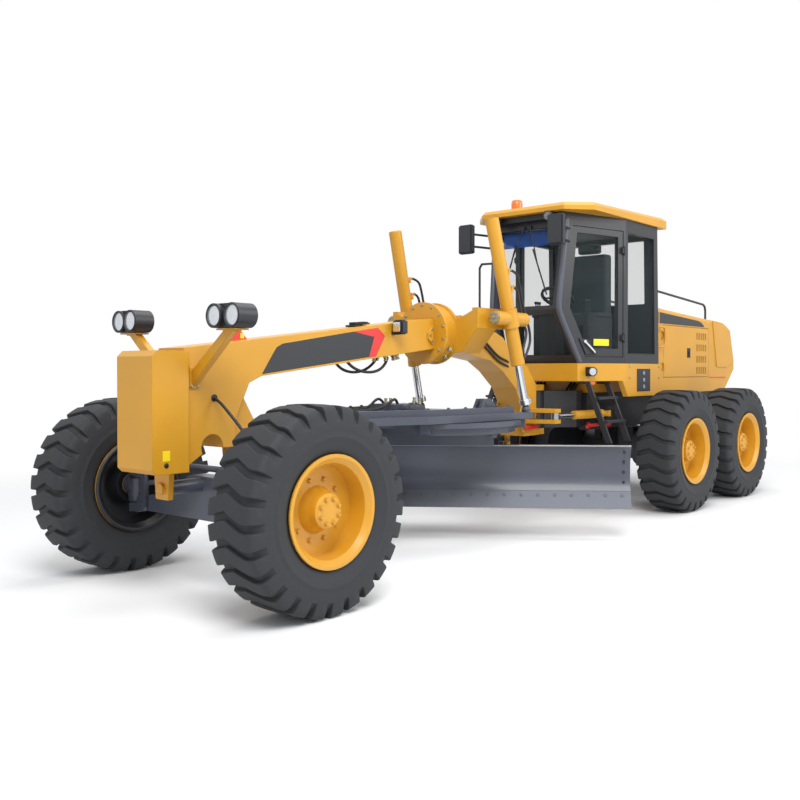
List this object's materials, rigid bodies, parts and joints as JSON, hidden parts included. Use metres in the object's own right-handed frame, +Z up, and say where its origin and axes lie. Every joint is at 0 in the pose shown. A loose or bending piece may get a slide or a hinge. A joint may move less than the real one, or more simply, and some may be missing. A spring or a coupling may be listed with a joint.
{
  "type": "motor grader",
  "caption": "Articulated motor grader: gooseneck front frame, leaning steered front wheels, blade on a toothed circle under a drawbar, tandem rear wheels, cab and hood.",
  "frame": {"origin": "on the ground, half way along the machine's length, on its centre line", "axes": "+X forward, +Y to the machine's left, +Z up"},
  "size_m": [8.97, 3.0884, 3.385],
  "materials": {
    "tyre": "matte",
    "yellow": "satin",
    "slate": "satin",
    "black": "satin",
    "chrome": "polished",
    "steel": "worn",
    "glass": "clear",
    "plastic": "matte",
    "red": "satin",
    "amber": "gloss",
    "iron": "rough"
  },
  "bodies": {
    "rear_body": {"rear_frame": "black", "tandem_axle": "black", "engine_block": "iron", "cab_frame": "black", "cab_glass": "glass", "cab_roof": "yellow", "cab_base": "yellow", "cab_interior": "plastic", "ladders": "black", "mirrors": "black", "beacon": "amber", "hood": "yellow"},
    "front_body": {"front_frame": "yellow", "saddle": "yellow", "front_axle": "slate", "headlights": "black", "lift_lug": "red"},
    "lean_left": {"lean_bracket_left": "slate"},
    "lean_right": {"lean_bracket_right": "slate"},
    "knuckle_left": {"steering_knuckle_left": "slate"},
    "knuckle_right": {"steering_knuckle_right": "slate"},
    "lean_bar": {"lean_bar": "slate"},
    "tie_rod_swivel": {"tie_rod_swivel": "slate"},
    "tie_rod": {"tie_rod": "slate"},
    "drawbar_ball": {"drawbar_ball": "steel"},
    "drawbar": {"drawbar": "slate"},
    "circle": {"circle": "slate"},
    "circle_pinion": {"circle_pinion": "steel"},
    "blade_carrier": {"blade_carrier": "slate"},
    "blade": {"moldboard": "slate", "cutting_edge": "steel", "side_shift_rod": "chrome"},
    "tip_barrel": {"tip_barrel": "yellow"},
    "tip_rod": {"tip_rod": "chrome"},
    "cab_door_left": {"cab_door_left": "black", "door_glass_left": "glass"},
    "hood_door_left": {"hood_door_left": "yellow"},
    "lift_barrel_left": {"lift_barrel_left": "yellow"},
    "lift_rod_left": {"lift_rod_left": "chrome"},
    "articulation_barrel_left": {"articulation_barrel_left": "yellow"},
    "articulation_rod_left": {"articulation_rod_left": "chrome"},
    "cab_door_right": {"cab_door_right": "black", "door_glass_right": "glass"},
    "hood_door_right": {"hood_door_right": "yellow"},
    "lift_barrel_right": {"lift_barrel_right": "yellow"},
    "lift_rod_right": {"lift_rod_right": "chrome"},
    "articulation_barrel_right": {"articulation_barrel_right": "yellow"},
    "articulation_rod_right": {"articulation_rod_right": "chrome"},
    "wheel_front_left": {"wheel_front_left": "yellow", "tyre_front_left": "tyre"},
    "wheel_front_right": {"wheel_front_right": "yellow", "tyre_front_right": "tyre"},
    "wheel_middle_left": {"wheel_middle_left": "yellow", "tyre_middle_left": "tyre"},
    "wheel_middle_right": {"wheel_middle_right": "yellow", "tyre_middle_right": "tyre"},
    "wheel_rear_left": {"wheel_rear_left": "yellow", "tyre_rear_left": "tyre"},
    "wheel_rear_right": {"wheel_rear_right": "yellow", "tyre_rear_right": "tyre"}
  },
  "joints": [
    {"name": "articulation", "type": "hinge", "parent": "rear_body", "child": "front_body", "pos_m": [-0.308, 0, 1.13], "axis": [0, 0, -1], "range_deg": [-27, 27]},
    {"name": "articulation_barrel_left", "type": "hinge", "parent": "rear_body", "child": "articulation_barrel_left", "pos_m": [-1.028, 0.47, 1.075], "axis": [0, 0, -1], "range_deg": [-6, 6]},
    {"name": "articulation_rod_left", "type": "slide", "parent": "articulation_barrel_left", "child": "articulation_rod_left", "axis": [0.998, -0.063, 0], "range_m": [-0.21, 0.21]},
    {"name": "cab_door_left", "type": "hinge", "parent": "rear_body", "child": "cab_door_left", "pos_m": [-0.995, 0.704, 2.35], "axis": [0, 0, 1], "range_deg": [0, 80]},
    {"name": "hood_door_left", "type": "hinge", "parent": "rear_body", "child": "hood_door_left", "pos_m": [-2.243, 0.562, 1.79], "axis": [0, 0, -1], "range_deg": [0, 80]},
    {"name": "articulation_barrel_right", "type": "hinge", "parent": "rear_body", "child": "articulation_barrel_right", "pos_m": [-1.028, -0.47, 1.075], "axis": [0, 0, -1], "range_deg": [-6, 6]},
    {"name": "articulation_rod_right", "type": "slide", "parent": "articulation_barrel_right", "child": "articulation_rod_right", "axis": [0.998, 0.063, 0], "range_m": [-0.21, 0.21]},
    {"name": "cab_door_right", "type": "hinge", "parent": "rear_body", "child": "cab_door_right", "pos_m": [-0.995, -0.704, 2.35], "axis": [0, 0, -1], "range_deg": [0, 80]},
    {"name": "hood_door_right", "type": "hinge", "parent": "rear_body", "child": "hood_door_right", "pos_m": [-2.243, -0.562, 1.79], "axis": [0, 0, 1], "range_deg": [0, 80]},
    {"name": "lean_left", "type": "hinge", "parent": "front_body", "child": "lean_left", "pos_m": [3.822, 0.7, 0.545], "axis": [1, 0, 0], "range_deg": [-17, 17]},
    {"name": "lean_right", "type": "hinge", "parent": "front_body", "child": "lean_right", "pos_m": [3.822, -0.7, 0.545], "axis": [1, 0, 0], "range_deg": [-17, 17]},
    {"name": "lean_bar_pivot", "type": "hinge", "parent": "lean_left", "child": "lean_bar", "pos_m": [3.822, 0.7, 0.845], "axis": [1, 0, 0], "range_deg": [-17, 17]},
    {"name": "steer_left", "type": "hinge", "parent": "lean_left", "child": "knuckle_left", "pos_m": [3.822, 0.88, 0.663], "axis": [0, 0, 1], "range_deg": [-50, 50]},
    {"name": "steer_right", "type": "hinge", "parent": "lean_right", "child": "knuckle_right", "pos_m": [3.822, -0.88, 0.663], "axis": [0, 0, 1], "range_deg": [-50, 50]},
    {"name": "tie_rod_turn", "type": "hinge", "parent": "knuckle_left", "child": "tie_rod_swivel", "pos_m": [3.592, 0.88, 0.612], "axis": [0, 0, 1], "range_deg": [-50, 50]},
    {"name": "tie_rod_level", "type": "hinge", "parent": "tie_rod_swivel", "child": "tie_rod", "pos_m": [3.592, 0.88, 0.612], "axis": [1, 0, 0], "range_deg": [-13.6, 13.6]},
    {"name": "wheel_middle_left", "type": "hinge", "parent": "rear_body", "child": "wheel_middle_left", "pos_m": [-1.628, 1.04, 0.663], "axis": [0, 1, 0], "continuous": true},
    {"name": "wheel_middle_right", "type": "hinge", "parent": "rear_body", "child": "wheel_middle_right", "pos_m": [-1.628, -1.04, 0.663], "axis": [0, 1, 0], "continuous": true},
    {"name": "wheel_rear_left", "type": "hinge", "parent": "rear_body", "child": "wheel_rear_left", "pos_m": [-3.166, 1.04, 0.663], "axis": [0, 1, 0], "continuous": true},
    {"name": "wheel_rear_right", "type": "hinge", "parent": "rear_body", "child": "wheel_rear_right", "pos_m": [-3.166, -1.04, 0.663], "axis": [0, 1, 0], "continuous": true},
    {"name": "wheel_front_left", "type": "hinge", "parent": "knuckle_left", "child": "wheel_front_left", "pos_m": [3.822, 1.075, 0.663], "axis": [0, 1, 0], "continuous": true},
    {"name": "wheel_front_right", "type": "hinge", "parent": "knuckle_right", "child": "wheel_front_right", "pos_m": [3.822, -1.075, 0.663], "axis": [0, 1, 0], "continuous": true},
    {"name": "drawbar_swing", "type": "hinge", "parent": "front_body", "child": "drawbar_ball", "pos_m": [3.492, 0, 0.87], "axis": [0, 0, 1], "range_deg": [-9, 9]},
    {"name": "drawbar_lift", "type": "hinge", "parent": "drawbar_ball", "child": "drawbar", "pos_m": [3.492, 0, 0.87], "axis": [0, 1, 0], "range_deg": [-21.4, 3.9]},
    {"name": "lift_barrel_left", "type": "hinge", "parent": "front_body", "child": "lift_barrel_left", "pos_m": [1.00075, 0.61041, 2.006], "axis": [0, 1, 0], "range_deg": [-10.4, 2]},
    {"name": "lift_rod_left", "type": "slide", "parent": "lift_barrel_left", "child": "lift_rod_left", "axis": [0.2558, -0.0346, 0.9661], "range_m": [-0.99, 0.182]},
    {"name": "lift_barrel_right", "type": "hinge", "parent": "front_body", "child": "lift_barrel_right", "pos_m": [1.00075, -0.61041, 2.006], "axis": [0, 1, 0], "range_deg": [-10.4, 2]},
    {"name": "lift_rod_right", "type": "slide", "parent": "lift_barrel_right", "child": "lift_rod_right", "axis": [0.2558, 0.0346, 0.9661], "range_m": [-0.99, 0.182]},
    {"name": "circle_turn", "type": "hinge", "parent": "drawbar", "child": "circle", "pos_m": [1.342, 0, 1.04], "axis": [0, 0, 1], "continuous": true},
    {"name": "pinion_turn", "type": "hinge", "parent": "drawbar", "child": "circle_pinion", "pos_m": [1.888, 0, 1.04], "axis": [0, 0, 1], "continuous": true},
    {"name": "blade_tip", "type": "hinge", "parent": "circle", "child": "blade_carrier", "pos_m": [1.12083, -0.15487, 0.47], "axis": [-0.5736, 0.8192, 0], "range_deg": [-31, 11]},
    {"name": "blade_side_shift", "type": "slide", "parent": "blade_carrier", "child": "blade", "axis": [0.5736, -0.8192, 0], "range_m": [-0.57, 0.43]},
    {"name": "tip_barrel", "type": "hinge", "parent": "circle", "child": "tip_barrel", "pos_m": [0.60662, 0.30056, 0.88], "axis": [-0.5736, 0.8192, 0], "range_deg": [-1, 1]},
    {"name": "tip_rod", "type": "slide", "parent": "tip_barrel", "child": "tip_rod", "axis": [0.0215, 0.0151, -0.9997], "range_m": [-0.04, 0.09]}
  ],
  "couplings": [
    {"joint": "articulation_barrel_left", "follows": "articulation", "ratio": 0.2},
    {"joint": "articulation_rod_left", "follows": "articulation", "m_per_rad": 0.425},
    {"joint": "articulation_barrel_right", "follows": "articulation", "ratio": 0.2},
    {"joint": "articulation_rod_right", "follows": "articulation", "m_per_rad": -0.425},
    {"joint": "lean_right", "follows": "lean_left", "ratio": 1},
    {"joint": "lean_bar_pivot", "follows": "lean_left", "ratio": -1},
    {"joint": "steer_right", "follows": "steer_left", "ratio": 1},
    {"joint": "tie_rod_turn", "follows": "steer_left", "ratio": -1},
    {"joint": "tie_rod_level", "follows": "lean_left", "ratio": -0.797},
    {"joint": "lift_barrel_left", "follows": "drawbar_lift", "ratio": 0.48},
    {"joint": "lift_rod_left", "follows": "drawbar_lift", "m_per_rad": 2.643},
    {"joint": "lift_barrel_right", "follows": "drawbar_lift", "ratio": 0.48},
    {"joint": "lift_rod_right", "follows": "drawbar_lift", "m_per_rad": 2.643},
    {"joint": "pinion_turn", "follows": "circle_turn", "ratio": 5.3333},
    {"joint": "tip_barrel", "follows": "blade_tip", "ratio": -0.02},
    {"joint": "tip_rod", "follows": "blade_tip", "m_per_rad": -0.15}
  ]
}
